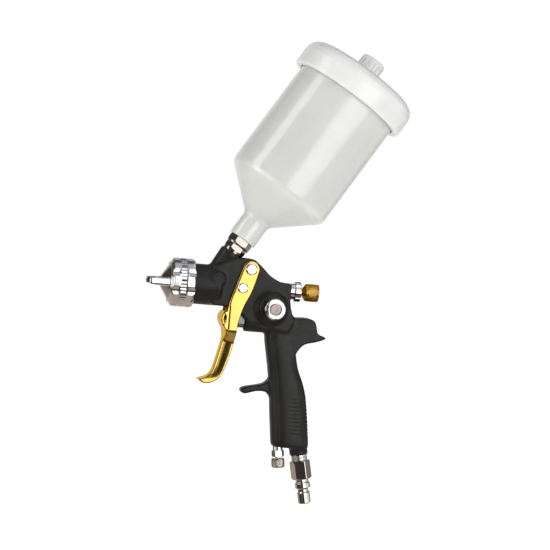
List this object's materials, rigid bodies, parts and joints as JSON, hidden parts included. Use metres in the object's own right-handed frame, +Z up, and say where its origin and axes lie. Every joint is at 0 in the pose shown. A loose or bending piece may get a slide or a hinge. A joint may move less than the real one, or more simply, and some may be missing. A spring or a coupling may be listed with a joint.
{
  "type": "hvlp spray gun",
  "caption": "Gravity-feed HVLP spray gun: black pistol body, gold trigger, chrome air cap and ring, milky paint cup with lid on an inclined neck, air plug under the grip.",
  "frame": {"origin": "centre of the air plug's nose, where its straight end stops", "axes": "+Z up with the gun held upright, the spray axis along X with the nozzle towards -X, +Y to the far side, away from the fan knob"},
  "size_m": [0.1942, 0.099, 0.3624],
  "materials": {
    "body_black": "satin black coating on a forged aluminium body",
    "chrome": "bright nickel-chrome plating",
    "gold": "gold-coloured anodised finish",
    "stainless": "turned stainless steel",
    "brass": "turned brass",
    "gunmetal": "dark plated steel",
    "cup_plastic": "translucent milky nylon",
    "lid_plastic": "white polyethylene",
    "ptfe": "white PTFE",
    "rubber": "solvent-proof rubber",
    "spring_steel": "drawn spring wire"
  },
  "bodies": {
    "gun": {"gun_body": "body_black", "air_baffle": "stainless", "fluid_nozzle": "stainless", "nozzle_seal": "ptfe", "needle_packing": "ptfe", "packing_nut": "brass", "adjuster_housing": "chrome", "needle_spring": "spring_steel", "trigger_stud": "chrome", "stud_screw": "chrome", "air_valve_nut": "gunmetal", "air_valve_seal": "rubber", "air_valve_seat": "brass", "air_valve_spring": "spring_steel", "fan_valve_housing": "gunmetal", "fan_valve_seal": "rubber", "regulator_gland": "chrome", "regulator_seal": "rubber", "inlet_collar": "chrome", "inlet_plug": "stainless"},
    "trigger": {"trigger": "gold", "lift_pins": "chrome"},
    "needle": {"fluid_needle": "stainless", "needle_collar": "brass"},
    "air_valve": {"air_valve_stem": "stainless", "air_valve_head": "brass"},
    "fluid_spindle": {"fluid_spindle": "gold"},
    "fluid_knob": {"fluid_knob": "gold"},
    "fan_spindle": {"fan_valve_spindle": "stainless"},
    "fan_knob": {"fan_knob": "chrome", "fan_knob_screw": "stainless"},
    "regulator_spindle": {"regulator_spindle": "stainless"},
    "regulator_knob": {"regulator_knob": "chrome"},
    "cap_clip": {"cap_clip": "spring_steel"},
    "cap_ring": {"air_cap_ring": "chrome"},
    "air_cap": {"air_cap": "chrome"},
    "cup_filter": {"cup_filter": "ptfe"},
    "cup": {"cup_connector": "chrome", "cup_locknut": "chrome", "cup_body": "cup_plastic"},
    "lid": {"cup_lid": "lid_plastic", "lid_gasket": "ptfe"},
    "vent_cap": {"vent_cap": "lid_plastic", "vent_seal": "rubber"}
  },
  "joints": [
    {"name": "trigger_pull", "type": "hinge", "parent": "gun", "child": "trigger", "pos_m": [-0.06026, 0, 0.17937], "axis": [0, -1, 0], "range_deg": [0, 12], "stiffness_Nm_per_rad": 4, "springref_deg": -5.73},
    {"name": "needle_travel", "type": "slide", "parent": "gun", "child": "needle", "axis": [1, 0, 0], "range_m": [0, 0.0034], "deforming": ["needle_spring"]},
    {"name": "air_valve_travel", "type": "slide", "parent": "gun", "child": "air_valve", "axis": [1, 0, 0], "range_m": [0, 0.009], "deforming": ["air_valve_spring"]},
    {"name": "fluid_spindle_travel", "type": "slide", "parent": "gun", "child": "fluid_spindle", "axis": [1, 0, 0], "range_m": [-0.001, 0.002]},
    {"name": "fluid_knob_turn", "type": "hinge", "parent": "fluid_spindle", "child": "fluid_knob", "pos_m": [-0.01026, 0, 0.16437], "axis": [1, 0, 0], "range_deg": [-361, 721]},
    {"name": "fan_spindle_travel", "type": "slide", "parent": "gun", "child": "fan_spindle", "axis": [0, -1, 0], "range_m": [-0.0015, 0.00075]},
    {"name": "fan_knob_turn", "type": "hinge", "parent": "fan_spindle", "child": "fan_knob", "pos_m": [-0.04126, -0.026, 0.15037], "axis": [0, -1, 0], "range_deg": [-541, 271]},
    {"name": "regulator_spindle_travel", "type": "slide", "parent": "gun", "child": "regulator_spindle", "axis": [0.1045, 0, -0.9945], "range_m": [-0.001, 0.001]},
    {"name": "regulator_knob_turn", "type": "hinge", "parent": "regulator_spindle", "child": "regulator_knob", "pos_m": [-0.02391, 0, 0.02993], "axis": [0.1045, 0, -0.9945], "range_deg": [-361, 361]},
    {"name": "cap_ring_travel", "type": "slide", "parent": "gun", "child": "cap_clip", "axis": [-1, 0, 0], "range_m": [0, 0.009]},
    {"name": "cap_ring_turn", "type": "hinge", "parent": "cap_clip", "child": "cap_ring", "pos_m": [-0.11326, 0, 0.16437], "axis": [-1, 0, 0], "range_deg": [0, 2161]},
    {"name": "air_cap_turn", "type": "hinge", "parent": "cap_clip", "child": "air_cap", "pos_m": [-0.12326, 0, 0.16437], "axis": [-1, 0, 0], "range_deg": [-90, 90]},
    {"name": "cup_travel", "type": "slide", "parent": "gun", "child": "cup_filter", "axis": [0.5299, 0, 0.848], "range_m": [0, 0.0105]},
    {"name": "cup_turn", "type": "hinge", "parent": "cup_filter", "child": "cup", "pos_m": [-0.06976, 0, 0.1983], "axis": [0.5299, 0, 0.848], "range_deg": [0, 2520]},
    {"name": "lid_lift", "type": "slide", "parent": "cup", "child": "lid", "axis": [0.5299, 0, 0.848], "range_m": [0, 0.06]},
    {"name": "vent_cap_lift", "type": "slide", "parent": "lid", "child": "vent_cap", "axis": [0.5299, 0, 0.848], "range_m": [0, 0.003]}
  ],
  "couplings": [
    {"joint": "needle_travel", "follows": "trigger_pull", "m_per_rad": 0.0155},
    {"joint": "air_valve_travel", "follows": "trigger_pull", "m_per_rad": 0.042},
    {"joint": "fluid_knob_turn", "follows": "fluid_spindle_travel", "rad_per_m": 6283.2},
    {"joint": "fan_knob_turn", "follows": "fan_spindle_travel", "rad_per_m": 6283.2},
    {"joint": "regulator_knob_turn", "follows": "regulator_spindle_travel", "rad_per_m": 6283.2},
    {"joint": "cap_ring_turn", "follows": "cap_ring_travel", "rad_per_m": 4188.8},
    {"joint": "cup_travel", "follows": "cup_turn", "m_per_rad": 0.00023873}
  ]
}
